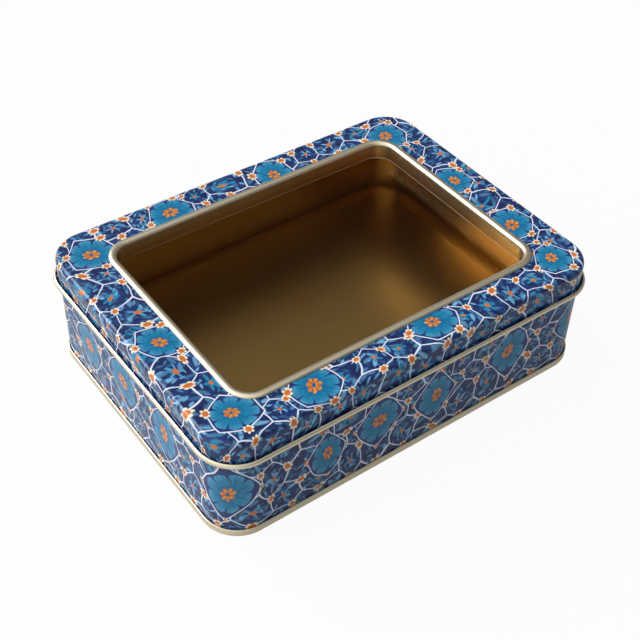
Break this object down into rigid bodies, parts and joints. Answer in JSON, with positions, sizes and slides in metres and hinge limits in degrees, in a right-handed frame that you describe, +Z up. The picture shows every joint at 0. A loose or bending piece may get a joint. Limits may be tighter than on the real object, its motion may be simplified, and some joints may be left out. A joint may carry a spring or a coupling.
{
  "type": "window tin box",
  "caption": "Rectangular printed tinplate box with rounded corners and a lift-off slip lid whose large clear window is framed by a pale gold bead and collar.",
  "frame": {"origin": "centre of the tin's footprint, on the surface it stands on", "axes": "+X along the long sides, +Y towards the back wall with the side seam, +Z up"},
  "size_m": [0.2516, 0.1888, 0.0714],
  "materials": {
    "printed_tinplate": "glossy varnished print",
    "gold_lacquered_tinplate": "satin gold lacquer",
    "bonding_tape": "matt",
    "clear_plastic": "clear"
  },
  "bodies": {
    "tin": {"body_wall": "printed_tinplate", "base_panel": "gold_lacquered_tinplate"},
    "lid": {"lid_shell": "printed_tinplate", "window_rim": "gold_lacquered_tinplate", "pane_tape": "bonding_tape", "window_pane": "clear_plastic"}
  },
  "joints": [
    {"name": "lid_lift", "type": "slide", "parent": "tin", "child": "lid", "axis": [0, 0, 1], "range_m": [0, 0.06]}
  ]
}
